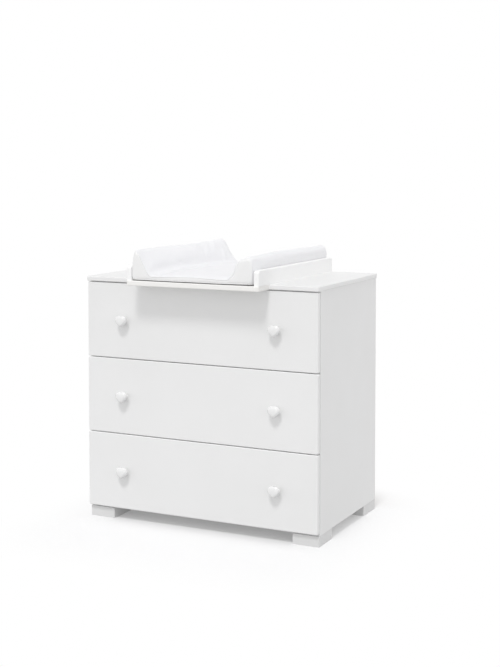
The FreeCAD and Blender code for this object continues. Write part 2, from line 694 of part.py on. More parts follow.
for side_name, side in SIDES.items():
    xs = (("tray_left", "tray_left + tray_rail_thickness") if side < 0
          else ("tray_right - tray_rail_thickness", "tray_right"))
    rail = board(f"tray_rail_{side_name}_blank", xs, ("tray_front", "tray_back"),
                 ("top_surface", "top_surface + tray_rail_height"))
    rail_top = value("tray_rail_height")
    rounded(rail, f"tray_rail_{side_name}_corners", "tray_rail_corner",
            lambda edge: runs_along(edge, "x") and flat_on(edge, "z", rail_top))
    rounded(rail, f"tray_rail_{side_name}_edges", "tray_rail_edge",
            lambda edge: edge.BoundBox.ZMax > 0.01 and not runs_along(edge, "x"))
    node(cut(f"tray_rail_{side_name}", rail, tray_tools), f"tray_rail_{side_name}")

front_board = board("tray_board_blank", ("tray_left", "tray_right"), ("board_front", "board_back"),
                    ("board_underside", "top_surface"))
rounded(front_board, "tray_board_corners", "tray_board_corner",
        lambda edge: runs_along(edge, "z") and flat_on(edge, "y", 0))
board_depth = value("board_back - board_front")
rounded(front_board, "tray_board_edges", "tray_board_edge",
        lambda edge: not runs_along(edge, "z") and not flat_on(edge, "y", board_depth))
node(cut("tray_front_board", front_board, tray_tools), "tray_front_board")
node(slab("tray_back_batten", ("tray_left + tray_rail_thickness", "tray_right - tray_rail_thickness"),
          ("batten_front", "tray_back"), ("top_surface", "top_surface + batten_height")),
     "tray_back_batten")
node(group("tray_screws", tray_screws), "tray_screws")

# ---------------------------------------------------------------------------------------------
# Changing mat: foam in one sewn cover. A thin middle with a soft crown lies between two bolsters,
# each a long wedge with a near-upright outer face and a slope down to the middle.

mat_length = value("mat_back - mat_front")
taper = value("mat_end_taper")
# places along the mat, and how full it is there: 0 at its sewn ends, 1 over its middle
MAT_STATIONS = ((0, 0), (taper / 3, 0.72), (taper, 1), (mat_length / 2, 1), (mat_length - taper, 1),
                (mat_length - taper / 3, 0.72), (mat_length, 0))


def arc(start, through, end):
    return Part.Arc(start, through, end).toShape()


def line(start, end):
    return Part.LineSegment(start, end).toShape()


def middle_section(along, full):
    """The thin middle of the mat, cut across: flat below, upright sides, a crown on top."""
    half = value("(mat_width - 2 * bolster_width) / 2 - mat_seam_gap")
    lip, thickness, crown = value("mat_lip"), value("mat_thickness"), value("mat_crown")
    edge = lip + (thickness - crown - lip) * full
    top = edge + crown * (0.4 + 0.6 * full)
    corners = [Vector(-half, along, 0), Vector(half, along, 0), Vector(half, along, edge),
               Vector(-half, along, edge)]
    return Part.Wire([line(corners[0], corners[1]), line(corners[1], corners[2]),
                      arc(corners[2], Vector(0, along, top), corners[3]), line(corners[3], corners[0])])


def bolster_section(along, full):
    """A bolster cut across, with its outer face at x = 0 and its foot towards +X."""
    foot, ridge = value("bolster_width"), value("bolster_ridge")
    radius, swell = value("bolster_ridge_radius"), value("bolster_slope_crown")
    lip, edge = value("mat_lip"), value("mat_thickness - mat_crown")
    foot_top = lip + (edge - lip) * full
    peak = value("bolster_height") - value("bolster_end_drop") * (1 - full)
    drawn_in = radius / 4 * (1 - full)
    lean = math.atan2(foot - ridge, peak - foot_top)
    shoulder = Vector(ridge + radius * math.cos(lean), along, peak - radius * (1 - math.sin(lean)))
    outer = Vector(ridge - radius, along, peak - radius)
    low = Vector(drawn_in + radius / 4, along, 0)
    foot_edge = Vector(foot, along, foot_top)
    slope = (foot_edge + shoulder) * 0.5 + Vector(math.cos(lean), 0, math.sin(lean)) * swell
    flank = Vector(drawn_in, along, peak * 0.4)
    return Part.Wire([line(low, Vector(foot, along, 0)), line(Vector(foot, along, 0), foot_edge),
                      arc(foot_edge, slope, shoulder), arc(shoulder, Vector(ridge, along, peak), outer),
                      arc(outer, flank, low)])


middle_of_mat = shaped("mat_middle", Part.makeLoft([middle_section(*s) for s in MAT_STATIONS], True, True))
put(middle_of_mat, ("mat_left + mat_width / 2", "mat_front", "mat_underside"))
node(middle_of_mat, "mat_middle")

wedge = Part.makeLoft([bolster_section(*s) for s in MAT_STATIONS], True, True)
left_bolster = shaped("mat_bolster_left", wedge)
put(left_bolster, ("mat_left", "mat_front", "mat_underside"))
node(left_bolster, "mat_bolster_left")
right_bolster = shaped("mat_bolster_right", wedge.mirror(Vector(), Vector(1, 0, 0)))
put(right_bolster, ("mat_left + mat_width", "mat_front", "mat_underside"))
node(right_bolster, "mat_bolster_right")

# ---------------------------------------------------------------------------------------------
# Check everything, then write one file for each piece.

doc.recompute()
for item in doc.Objects:
    faults = [state for state in item.State if state in ("Invalid", "Error")]
    if faults:
        raise RuntimeError(f"{item.Label} is {', '.join(faults)}")
for item in nodes:
    if item.Shape.isNull() or not item.Shape.isValid() or not item.Shape.Solids:
        raise RuntimeError(f"{item.Label} has no sound shape")

os.makedirs("parts", exist_ok=True)
for item in nodes:
    item.Shape.exportStep(f"parts/{item.Label}.step")
print(f"{len(nodes)} pieces, {sum(len(item.Shape.Solids) for item in nodes)} solids")
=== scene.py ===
import bmesh
import bpy
import math
from mathutils import Matrix, Vector
from mathutils.bvhtree import BVHTree


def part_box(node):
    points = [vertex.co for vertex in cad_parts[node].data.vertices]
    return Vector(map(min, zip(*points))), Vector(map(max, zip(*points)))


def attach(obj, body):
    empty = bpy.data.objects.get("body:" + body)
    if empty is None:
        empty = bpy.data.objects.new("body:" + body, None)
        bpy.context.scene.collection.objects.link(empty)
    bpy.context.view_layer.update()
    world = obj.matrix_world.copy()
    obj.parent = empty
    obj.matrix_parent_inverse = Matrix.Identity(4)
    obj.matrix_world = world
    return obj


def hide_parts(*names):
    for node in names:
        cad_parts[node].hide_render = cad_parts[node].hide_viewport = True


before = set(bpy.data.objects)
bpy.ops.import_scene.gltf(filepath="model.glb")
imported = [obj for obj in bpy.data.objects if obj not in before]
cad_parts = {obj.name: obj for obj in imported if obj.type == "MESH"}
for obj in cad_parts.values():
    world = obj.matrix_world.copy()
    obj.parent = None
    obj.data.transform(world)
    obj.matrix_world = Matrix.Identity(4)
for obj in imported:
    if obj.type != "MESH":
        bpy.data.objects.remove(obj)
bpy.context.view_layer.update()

# ---- Camera and studio ----
# A changing dresser photographed from its front right, at the height of a standing person, in a
# plain white studio: one soft lamp above the front, even light all round, and a white floor.


def new_object(name, data):
    """An object of the scene that shows some data."""
    made = bpy.data.objects.new(name, data)
    bpy.context.collection.objects.link(made)
    return made


# degrees below the horizon, and round from straight before the fronts
CAMERA_DOWN, CAMERA_TURN = 2.919, 26.006
camera = new_object("camera", bpy.data.cameras.new("camera"))
camera.data.lens = 68.58
camera.data.shift_y = -0.165
camera.location = (2.1213, -4.1639, 1.3261)
camera.rotation_euler = (math.radians(90 - CAMERA_DOWN), 0, math.radians(CAMERA_TURN))
camera.data.clip_end = 200
bpy.context.scene.camera = camera
bpy.context.scene.view_settings.view_transform = "Standard"


def any_of(tree, rays, names):
    """1 where a ray is of one of the named kinds."""
    found = rays.outputs[names[0]]
    for name in names[1:]:
        either = tree.nodes.new("ShaderNodeMath")
        either.operation = "MAXIMUM"
        tree.links.new(found, either.inputs[0])
        tree.links.new(rays.outputs[name], either.inputs[1])
        found = either.outputs[0]
    return found


def coordinates(tree, kind="Object"):
    """Where a shaded point lies in the object's own directions, or another kind of coordinates."""
    return tree.nodes.new("ShaderNodeTexCoord").outputs[kind]


def spread(tree, value, low, high, start=0.0, end=1.0, kind="LINEAR"):
    """Carries a value from one range to another."""
    carry = tree.nodes.new("ShaderNodeMapRange")
    carry.interpolation_type = kind
    for socket, number in (("From Min", low), ("From Max", high), ("To Min", start), ("To Max", end)):
        carry.inputs[socket].default_value = number
    tree.links.new(value, carry.inputs["Value"])
    return carry.outputs["Result"]


def surfaced(tree, share, first, second, output):
    """Mixes two shaders by a share and lays the mixture on the named output node."""
    mix = tree.nodes.new("ShaderNodeMixShader")
    for socket, item in zip(mix.inputs, (share, first.outputs[0], second.outputs[0])):
        tree.links.new(item, socket)
    tree.links.new(mix.outputs[0], tree.nodes[output].inputs["Surface"])


# large soft walls of light stand round the object, so the sky is brighter low down than overhead
SKY_LOW, SKY_OVERHEAD = 1.25, 0.45
WHITE_RAYS = ("Is Camera Ray", "Is Glossy Ray", "Is Transmission Ray")
world = bpy.data.worlds.new("studio")
bpy.context.scene.world = world
world.use_nodes = True
tree = world.node_tree
air = tree.nodes["Background"]
air.inputs["Color"].default_value = (0.99, 0.99, 1.0, 1)
aim = tree.nodes.new("ShaderNodeSeparateXYZ")
tree.links.new(coordinates(tree, "Generated"), aim.inputs[0])
tree.links.new(spread(tree, aim.outputs["Z"], 0.0, 1.0, SKY_LOW, SKY_OVERHEAD), air.inputs["Strength"])
white = tree.nodes.new("ShaderNodeBackground")
white.inputs["Color"].default_value = (1, 1, 1, 1)
seen = any_of(tree, tree.nodes.new("ShaderNodeLightPath"), WHITE_RAYS)
surfaced(tree, seen, air, white, "World Output")

lamp_data = bpy.data.lights.new("lamp_above_front", "SUN")
lamp_data.energy = 1.1
lamp_data.angle = math.radians(13)
lamp = new_object("lamp_above_front", lamp_data)
lamp_height, lamp_turn = math.radians(55), math.radians(9)
lamp_from = Vector((math.sin(lamp_turn) * math.cos(lamp_height),
                    -math.cos(lamp_turn) * math.cos(lamp_height), math.sin(lamp_height)))
lamp.rotation_mode = "QUATERNION"
lamp.rotation_quaternion = lamp_from.to_track_quat("Z", "Y")


def mesh_object(name, shape):
    """Turns a finished bmesh into an object at the origin."""
    mesh = bpy.data.meshes.new(name)
    shape.to_mesh(mesh)
    shape.free()
    return new_object(name, mesh)


def mixed(tree, share, first, second):
    """Mixes two colours; each may be a socket or a plain colour."""
    blend = tree.nodes.new("ShaderNodeMix")
    blend.data_type = "RGBA"
    for socket, item in ((blend.inputs[0], share), (blend.inputs[6], first), (blend.inputs[7], second)):
        if isinstance(item, bpy.types.NodeSocket):
            tree.links.new(item, socket)
        else:
            socket.default_value = (*item, 1)
    return blend.outputs[2]


def new_finish(name):
    """A new material, with its node tree and its surface shader."""
    finish = bpy.data.materials.new(name)
    finish.use_nodes = True
    return finish, finish.node_tree, finish.node_tree.nodes["Principled BSDF"]


FLOOR_REACH, FLOOR_SEGMENTS = 40, 96
floor_shape = bmesh.new()
bmesh.ops.create_circle(floor_shape, cap_ends=True, segments=FLOOR_SEGMENTS, radius=FLOOR_REACH)
floor = mesh_object("floor", floor_shape)
# the floor throws back less light than it shows, both its paper and its glow. Its shade is thin:
# outwards from a rectangle under the chest, a little forward of the middle, it fades to plain white,
# and even under the chest a share of glow paints light into the shadow and throws some up at the chest
PAPER_THROWN, PAPER_SHOWN = (0.58, 0.58, 0.58), (0.97, 0.97, 0.97)
GLOW_THROWN, GLOW_SHOWN = 0.56, 1.0
SHADE_FORWARD, SHADE_HALF_WIDTH, SHADE_HALF_DEPTH = 0.07, 0.36, 0.37
SHADE_FADE, SHADE_LIFTING_GLOW = 0.34, 0.16
floor_finish, tree, paper = new_finish("white_floor")
paper.inputs["Roughness"].default_value = 0.9
paper.inputs["Specular IOR Level"].default_value = 0.0
shown = any_of(tree, tree.nodes.new("ShaderNodeLightPath"), WHITE_RAYS)
tree.links.new(mixed(tree, shown, PAPER_THROWN, PAPER_SHOWN), paper.inputs["Base Color"])
away = coordinates(tree)
for operation, against in (("ADD", (0, SHADE_FORWARD, 0)), ("ABSOLUTE", None),
                           ("SUBTRACT", (SHADE_HALF_WIDTH, SHADE_HALF_DEPTH, 0)),
                           ("MAXIMUM", (0, 0, 0)), ("LENGTH", None)):
    step = tree.nodes.new("ShaderNodeVectorMath")
    step.operation = operation
    tree.links.new(away, step.inputs[0])
    if against is not None:
        step.inputs[1].default_value = against
    away = step.outputs["Value" if operation == "LENGTH" else "Vector"]
glow = tree.nodes.new("ShaderNodeEmission")
glow.inputs["Color"].default_value = (1, 1, 1, 1)
tree.links.new(spread(tree, shown, 0.0, 1.0, GLOW_THROWN, GLOW_SHOWN), glow.inputs["Strength"])
# a share of glow even in the middle: painted light that lifts the floor's shadow under the chest
fade = spread(tree, away, 0.0, SHADE_FADE, SHADE_LIFTING_GLOW, 1.0, kind="SMOOTHSTEP")
surfaced(tree, fade, paper, glow, "Material Output")
floor.data.materials.append(floor_finish)

# ---- Chest, feet and tray: white lacquer ----
# Panels, drawer fronts, block feet and the changing tray are fibreboard, sprayed with a satin
# white lacquer that dries with a fine orange peel.

# where most values of a noise lie
NOISE_SPAN = (0.3, 0.7)


def noise(tree, place, scale, detail=2.0, roughness=0.5):
    """Clouds of values round a half; the scale is how many fit in a metre."""
    cloud = tree.nodes.new("ShaderNodeTexNoise")
    cloud.inputs["Scale"].default_value = scale
    cloud.inputs["Detail"].default_value = detail
    cloud.inputs["Roughness"].default_value = roughness
    tree.links.new(place, cloud.inputs["Vector"])
    return cloud.outputs["Fac"]


def new_effect(name, wanted, given):
    """A shader node group with named inputs and outputs, and its own input and output nodes."""
    effect = bpy.data.node_groups.new(name, "ShaderNodeTree")
    for title, kind, start in wanted:
        socket = effect.interface.new_socket(title, in_out="INPUT", socket_type=f"NodeSocket{kind}")
        if start is not None:
            socket.default_value = start
    for title, kind in given:
        effect.interface.new_socket(title, in_out="OUTPUT", socket_type=f"NodeSocket{kind}")
    return effect, effect.nodes.new("NodeGroupInput"), effect.nodes.new("NodeGroupOutput")


def bumped(tree, shader, height, strength, depth):
    """Gives a shader's surface a relief from heights between 0 and 1; its depth is in metres."""
    bump = tree.nodes.new("ShaderNodeBump")
    bump.inputs["Strength"].default_value = strength
    bump.inputs["Distance"].default_value = depth
    tree.links.new(height, bump.inputs["Height"])
    tree.links.new(bump.outputs["Normal"], shader.inputs["Normal"])


# sprayed skin: slow clouds of tone, patches of more and less gloss, and the orange peel's dimples
PEEL_DIMPLES = 420.0
skin, skin_in, skin_out = new_effect(
    "sprayed_skin",
    (("Place", "Vector", None), ("Light tone", "Color", (0.9, 0.9, 0.9, 1)),
     ("Deep tone", "Color", (0.8, 0.8, 0.8, 1)), ("Smoothest", "Float", 0.3), ("Roughest", "Float", 0.4),
     ("Dimples", "Float", PEEL_DIMPLES)),
    (("Colour", "Color"), ("Roughness", "Float"), ("Height", "Float")))
clouds = noise(skin, skin_in.outputs["Place"], 3.1, 3.0)
specks = noise(skin, skin_in.outputs["Place"], 260.0)
toned = mixed(skin, spread(skin, clouds, *NOISE_SPAN), skin_in.outputs["Light tone"],
              skin_in.outputs["Deep tone"])
speckled = mixed(skin, spread(skin, specks, 0.62, 0.8, 0.0, 0.5), toned, skin_in.outputs["Deep tone"])
skin.links.new(speckled, skin_out.inputs["Colour"])
gloss = spread(skin, noise(skin, skin_in.outputs["Place"], 11.0, 4.0, 0.6), *NOISE_SPAN)
skin.links.new(skin_in.outputs["Smoothest"], gloss.node.inputs["To Min"])
skin.links.new(skin_in.outputs["Roughest"], gloss.node.inputs["To Max"])
skin.links.new(gloss, skin_out.inputs["Roughness"])
dimples = noise(skin, skin_in.outputs["Place"], PEEL_DIMPLES, 1.0)
skin.links.new(skin_in.outputs["Dimples"], dimples.node.inputs["Scale"])
skin.links.new(dimples, skin_out.inputs["Height"])


def sprayed(name, light, deep, smoothest, roughest, peel, coat=0.0, dimples=PEEL_DIMPLES):
    """A coated finish: tones are linear colours, peel is the depth of its dimples in metres."""
    finish, tree, shader = new_finish(name)
    shader.inputs["Coat Weight"].default_value = coat
    shader.inputs["Coat Roughness"].default_value = 0.12
    coats = tree.nodes.new("ShaderNodeGroup")
    coats.node_tree = skin
    tree.links.new(coordinates(tree), coats.inputs["Place"])
    for socket, value in (("Light tone", (*light, 1)), ("Deep tone", (*deep, 1)),
                          ("Smoothest", smoothest), ("Roughest", roughest), ("Dimples", dimples)):
        coats.inputs[socket].default_value = value
    tree.links.new(coats.outputs["Colour"], shader.inputs["Base Color"])
    tree.links.new(coats.outputs["Roughness"], shader.inputs["Roughness"])
    bumped(tree, shader, coats.outputs["Height"], 0.6, peel)
    return finish


def dress(finish, *names):
    """Gives CAD nodes a finish."""
    for name in names:
        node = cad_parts[name]
        for slot in node.material_slots:
            slot.material = finish


SIDE_NAMES = ("left", "right")
DRAWERS = ("drawer_1", "drawer_2", "drawer_3")
white_lacquer = sprayed("white_lacquer", (0.875, 0.875, 0.872), (0.85, 0.85, 0.845), 0.34, 0.42, 0.00004)
# the feet get a greyer copy of the white lacquer: painted shade for the shadow that falls on them under the
# fronts
shaded_foot_lacquer = sprayed("shaded_foot_lacquer", (0.76, 0.76, 0.757), (0.735, 0.735, 0.73), 0.38, 0.46, 0.00004)
tray_lacquer = sprayed("tray_lacquer", (0.93, 0.922, 0.9), (0.905, 0.896, 0.872), 0.34, 0.42, 0.00004)
# the rails get a whiter copy of the white lacquer: painted light that brightens their sides
lit_rail_lacquer = sprayed("lit_rail_lacquer", (0.975, 0.975, 0.971), (0.96, 0.96, 0.955), 0.44, 0.52, 0.00004)
dress(white_lacquer, "bottom_panel", "side_panel_left", "side_panel_right", "top_panel", "top_rail_back",
      "top_rail_front", *(f"{drawer}_front" for drawer in DRAWERS))
dress(shaded_foot_lacquer, *(f"foot_{end}_{side}" for end in ("front", "rear") for side in SIDE_NAMES))
dress(tray_lacquer, "tray_front_board", "tray_back_batten")
dress(lit_rail_lacquer, "tray_rail_left", "tray_rail_right")

# ---- Drawer boxes, drawer bottoms and back panel ----
# The boxes behind the fronts are chipboard faced with white melamine, pressed to a fine pearl
# grain. Bottoms and back are thin hardboard, painted on the side one sees and raw brown behind.
melamine = sprayed("melamine_board", (0.83, 0.83, 0.822), (0.8, 0.8, 0.79), 0.42, 0.52, 0.00005,
                   dimples=1100.0)
dress(melamine, *(f"{drawer}_{panel}" for drawer in DRAWERS for panel in ("side_left", "side_right", "back")))


def painted_hardboard(name, raw_axis, raw_sign):
    """Hardboard with a painted face; the face that looks along the raw axis shows brown fibres."""
    finish = sprayed(name, (0.84, 0.84, 0.832), (0.815, 0.815, 0.805), 0.36, 0.46, 0.00003, dimples=700.0)
    tree = finish.node_tree
    shader = tree.nodes["Principled BSDF"]
    coats = next(node for node in tree.nodes if node.bl_idname == "ShaderNodeGroup")
    place = coordinates(tree)
    fibres = noise(tree, place, 190.0, 6.0, 0.75)
    patches = noise(tree, place, 9.0, 4.0, 0.6)
    raw = mixed(tree, spread(tree, fibres, 0.35, 0.68), (0.27, 0.165, 0.09), (0.44, 0.3, 0.18))
    raw = mixed(tree, spread(tree, patches, 0.3, 0.75, 0.0, 0.3), raw, (0.2, 0.12, 0.065))
    facing = tree.nodes.new("ShaderNodeSeparateXYZ")
    tree.links.new(coordinates(tree, "Normal"), facing.inputs[0])
    mask = spread(tree, facing.outputs[raw_axis], 0.5 * raw_sign, 0.6 * raw_sign)
    tree.links.new(mixed(tree, mask, coats.outputs["Colour"], raw), shader.inputs["Base Color"])
    dull = tree.nodes.new("ShaderNodeMix")
    tree.links.new(mask, dull.inputs[0])
    tree.links.new(coats.outputs["Roughness"], dull.inputs[2])
    tree.links.new(spread(tree, fibres, *NOISE_SPAN, 0.62, 0.8), dull.inputs[3])
    tree.links.new(dull.outputs[0], shader.inputs["Roughness"])
    return finish


dress(painted_hardboard("back_hardboard", "Y", 1), "back_panel")
dress(painted_hardboard("bottom_hardboard", "Z", -1), *(f"{drawer}_bottom" for drawer in DRAWERS))

# ---- Runners and rollers ----
# Each drawer hangs on a pair of folded steel runners with a baked white epoxy coat, which roll on
# four moulded nylon wheels.
epoxy = sprayed("runner_epoxy", (0.8, 0.8, 0.79), (0.765, 0.765, 0.752), 0.3, 0.4, 0.00005,
                coat=0.15, dimples=650.0)
nylon = sprayed("roller_nylon", (0.78, 0.775, 0.75), (0.72, 0.715, 0.685), 0.34, 0.48, 0.00002,
                dimples=900.0)
for drawer in DRAWERS:
    dress(epoxy, f"{drawer}_runners", f"{drawer}_cabinet_runners")
    dress(nylon, f"{drawer}_front_rollers", f"{drawer}_back_rollers")

# ---- Fastenings ----
# Flat-pack fittings: beech dowels and cam bolts with their die-cast cam locks join the panels, and
# bright zinc-plated screws hold the feet, runners, tray and knobs.


def plated(name, light, deep, smoothest, roughest, flakes):
    """Plated or cast metal: a mottled tone, uneven gloss and a faint grain."""
    finish, tree, shader = new_finish(name)
    shader.inputs["Metallic"].default_value = 1.0
    place = coordinates(tree)
    mottle = noise(tree, place, flakes, 4.0, 0.65)
    wear = noise(tree, place, flakes * 2.7, 3.0)
    tree.links.new(mixed(tree, spread(tree, mottle, *NOISE_SPAN), light, deep), shader.inputs["Base Color"])
    tree.links.new(spread(tree, wear, *NOISE_SPAN, smoothest, roughest), shader.inputs["Roughness"])
    bumped(tree, shader, mottle, 0.4, 0.00003)
    return finish


zinc_plate = plated("screw_zinc_plate", (0.72, 0.73, 0.745), (0.58, 0.595, 0.62), 0.2, 0.34, 320.0)
cast_zinc = plated("cam_cast_zinc", (0.6, 0.6, 0.6), (0.45, 0.45, 0.455), 0.36, 0.52, 240.0)
dress(zinc_plate, "cam_bolts", "foot_screws", "runner_screws", "tray_screws",
      *(f"{drawer}_knob_screws" for drawer in DRAWERS))
dress(cast_zinc, "cam_locks")

# the dowels: straight-grained beech with short dark flecks, drawn out along the dresser's width
GRAIN_STRETCH = 9
beech, tree, wood_shader = new_finish("dowel_beech")
stretch = tree.nodes.new("ShaderNodeMapping")
stretch.inputs["Scale"].default_value = (1, GRAIN_STRETCH, GRAIN_STRETCH)
tree.links.new(coordinates(tree), stretch.inputs["Vector"])
flecks = noise(tree, stretch.outputs[0], 130.0, 3.0, 0.6)
growth = noise(tree, stretch.outputs[0], 22.0)
tone = mixed(tree, spread(tree, growth, 0.35, 0.65), (0.62, 0.44, 0.29), (0.7, 0.53, 0.37))
tone = mixed(tree, spread(tree, flecks, 0.6, 0.72, 0.0, 0.55), tone, (0.4, 0.25, 0.14))
tree.links.new(tone, wood_shader.inputs["Base Color"])
tree.links.new(spread(tree, flecks, *NOISE_SPAN, 0.5, 0.66), wood_shader.inputs["Roughness"])
dress(beech, "dowels")

# ---- Knobs: a puffy heart ----
# Six turned and sanded wooden hearts, each on a short round neck, sprayed with a glossier white
# than the fronts and held by one screw from inside the drawer.
HEART_WIDTH, HEART_HEIGHT, HEART_DEPTH = 0.047, 0.041, 0.021
NECK_LENGTH, NECK_RADIUS = 0.012, 0.0085
HEART_SEGMENTS, NECK_SEGMENTS = 48, 32
# how wide the heart is at shares of its depth, from its back to its face, and how far a narrower
# ring sinks towards the point, as a share of what it has lost in height
HEART_SWELL = ((0.0, 0.52), (0.04, 0.74), (0.14, 0.9), (0.32, 0.99), (0.52, 1.0), (0.7, 0.955),
               (0.85, 0.84), (0.95, 0.66), (1.0, 0.4))
HEART_DROP = 0.32


def heart_edge(turn):
    """A point of the heart's outline, one unit wide, at an angle from the cleft."""
    x = math.sin(turn) ** 3 * 0.26 + math.sin(turn) * 0.24
    z = (13 * math.cos(turn) - 1.9 * math.cos(2 * turn) - 0.8 * math.cos(3 * turn)
         - 0.3 * math.cos(4 * turn)) / 32
    return x, z


def around(ring):
    """Each item of a closed ring together with the one after it."""
    return zip(ring, ring[1:] + ring[:1])


def grow_ring(shape, ring):
    """Extrudes a closed ring of vertices and returns the new ring in the same order."""
    edges = [shape.edges.get(pair) or shape.edges.new(pair) for pair in around(ring)]
    made = {item for item in bmesh.ops.extrude_edge_only(shape, edges=edges)["geom"]
            if isinstance(item, bmesh.types.BMVert)}
    return [next(e.other_vert(v) for e in v.link_edges if e.other_vert(v) in made) for v in ring]


heart_heights = [heart_edge(math.radians(degree))[1] for degree in range(360)]
HEART_LOW, HEART_HIGH = min(heart_heights), max(heart_heights)


def heart_knob(name, at):
    """A heart and its neck, with the neck's flat end centred on a point of the drawer front."""
    shape = bmesh.new()
    ring = bmesh.ops.create_circle(shape, cap_ends=False, segments=HEART_SEGMENTS, radius=1)["verts"]
    turns = [math.atan2(v.co.x, v.co.y) for v in ring]
    rings = []
    for depth, swell in HEART_SWELL:
        ring = grow_ring(shape, ring) if rings else ring
        for v, turn in zip(ring, turns):
            x, z = heart_edge(turn)
            height = ((z - HEART_LOW) / (HEART_HIGH - HEART_LOW) - 0.5) * swell
            v.co = at + Vector((x * HEART_WIDTH * swell, -NECK_LENGTH - depth * HEART_DEPTH,
                                (height - HEART_DROP * (1 - swell) / 2) * HEART_HEIGHT))
        rings.append(ring)
    for end in (rings[0], rings[-1]):
        bmesh.ops.triangle_fill(shape, edges=[shape.edges.get(pair) for pair in around(end)],
                                use_beauty=True)
    bmesh.ops.recalc_face_normals(shape, faces=shape.faces)
    reach = NECK_LENGTH + HEART_DEPTH / 4
    neck = bmesh.ops.create_cone(shape, cap_ends=True, segments=NECK_SEGMENTS, radius1=NECK_RADIUS,
                                 radius2=NECK_RADIUS, depth=reach)["verts"]
    bmesh.ops.rotate(shape, verts=neck, matrix=Matrix.Rotation(math.radians(90), 3, "X"))
    bmesh.ops.translate(shape, verts=neck, vec=at + Vector((0, -reach / 2, 0)))
    knob = mesh_object(name, shape)
    knob.data.shade_smooth()
    return knob


# glossier than the fronts, and a little deeper in tone: the deeper tone is painted shade on the knobs' faces
knob_lacquer = sprayed("knob_lacquer", (0.86, 0.86, 0.857), (0.835, 0.835, 0.83), 0.18, 0.26, 0.00002,
                       coat=0.6)
for drawer in DRAWERS:
    for side in SIDE_NAMES:
        low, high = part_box(f"{drawer}_knob_{side}")
        knob = heart_knob(f"{drawer}_heart_{side}",
                          Vector(((low.x + high.x) / 2, high.y, (low.z + high.z) / 2)))
        knob.data.materials.append(knob_lacquer)
        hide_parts(f"{drawer}_knob_{side}")
        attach(knob, drawer)

# ---- Changing mat ----
# One cover of wipe-clean cloth over foam: a thin middle between two wedge bolsters, sewn down along
# the foot of each. Flat end panels are welded on in a raised welt, and the mat lies loose on the
# boards between the rails.
wedge_low, wedge_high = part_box("mat_bolster_left")[0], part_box("mat_bolster_right")[1]
MAT_FRONT, MAT_BACK, MAT_REST = wedge_low.y, wedge_high.y, wedge_low.z
MAT_LENGTH = MAT_BACK - MAT_FRONT
RAIL_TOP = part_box("tray_rail_right")[1].z
BATTEN_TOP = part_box("tray_back_batten")[1].z

# the mat cut across at its front end and at its back: from the left foot over both bolsters and
# back along the underside, in millimetres across the dresser and above the boards
CUT_FRONT = ((-216, 2), (-220, 12), (-220, 40), (-218, 80), (-213, 103), (-205, 114), (-196, 107),
             (-185, 86), (-174, 64), (-163, 42), (-154, 25), (-144, 15), (-110, 16), (-55, 19), (0, 20.5),
             (50, 20), (100, 18), (154, 15.5), (167, 18), (174, 31), (182, 54), (191, 77), (202, 90),
             (223, 98), (240, 101), (252, 93), (257, 66), (258, 34), (256, 10), (250, 2),
             (200, 0), (100, 0), (0, 0), (-100, 0), (-180, 0))
CUT_BACK = ((-216, 2), (-220, 12), (-219, 42), (-213, 80), (-205, 103), (-194, 115), (-179, 114.5),
            (-167, 98), (-155, 74), (-141, 53), (-126, 34), (-106, 17), (-85, 17), (-45, 19), (0, 20.5),
            (50, 20), (100, 18), (142, 16), (158, 22), (172, 38), (186, 61), (200, 80), (215, 92),
            (231, 100), (246, 101), (259, 91), (264, 66), (261, 46), (257, 12), (250, 2),
            (200, 0), (100, 0), (0, 0), (-100, 0), (-180, 0))
# places in the cut: where each bolster's slope meets the middle, and the right bolster's upper side
LEFT_FOOT, RIGHT_FOOT, RIGHT_TOP = 11, 17, range(21, 26)
# places along the mat from an end, and how far the cut is drawn in there, in millimetres
ROLL_FRONT = ((0, 12), (2, 8), (6, 4), (13, 1.3), (22, 0))
ROLL_BACK = ((0, 6), (1.5, 3), (5, 1), (10, 0))
# how much of that the underside takes, below a height, and how much the part against the left rail
# takes, which is farther left and lower than a point of the cut
UNDERCUT, UNDERSIDE, LEFT_HOLD, AGAINST_RAIL = 0.85, 1, 0.25, (-200, 60)
# how much higher the right bolster is halfway along than a straight line between its ends
RIGHT_CROWN = 3.5
# how far the bolsters lean back over the batten, from what share of the length, and from what
# height above the boards they begin and by what height they have all of it
BACK_LEAN, LEAN_START, LEAN_FOOT, LEAN_RISE = 7, 0.9, 18, 20


def ramp(value, start, reach):
    """How far a value has come from a start towards the end of a reach, between 0 and 1."""
    return min(max((value - start) / reach, 0), 1)


def mat_cut(share, drawn_in=0.0):
    """The cut at a share of the mat's length, drawn in from its own edge."""
    points = [Vector(a).lerp(Vector(b), share) for a, b in zip(CUT_FRONT, CUT_BACK)]
    for place in RIGHT_TOP:
        points[place].y += RIGHT_CROWN * math.sin(math.pi * share)
    drawn = []
    for place, point in enumerate(points):
        along = (points[(place + 1) % len(points)] - points[place - 1]).normalized()
        inward = Vector((along.y, -along.x))
        against_rail = point.x < AGAINST_RAIL[0] and point.y < AGAINST_RAIL[1]
        taken = UNDERCUT if point.y < UNDERSIDE else LEFT_HOLD if against_rail else 1
        drawn.append(point + inward * drawn_in * taken)
    return drawn


def on_mat(point, share):
    """Stands a point of the cut in the dresser; at the back the bolsters lean over the batten."""
    lean = BACK_LEAN * ramp(share, LEAN_START, 1 - LEAN_START) * ramp(point.y, LEAN_FOOT, LEAN_RISE)
    return Vector((point.x / 1000, MAT_FRONT + MAT_LENGTH * share + lean / 1000,
                   MAT_REST + max(point.y, 0) / 1000))


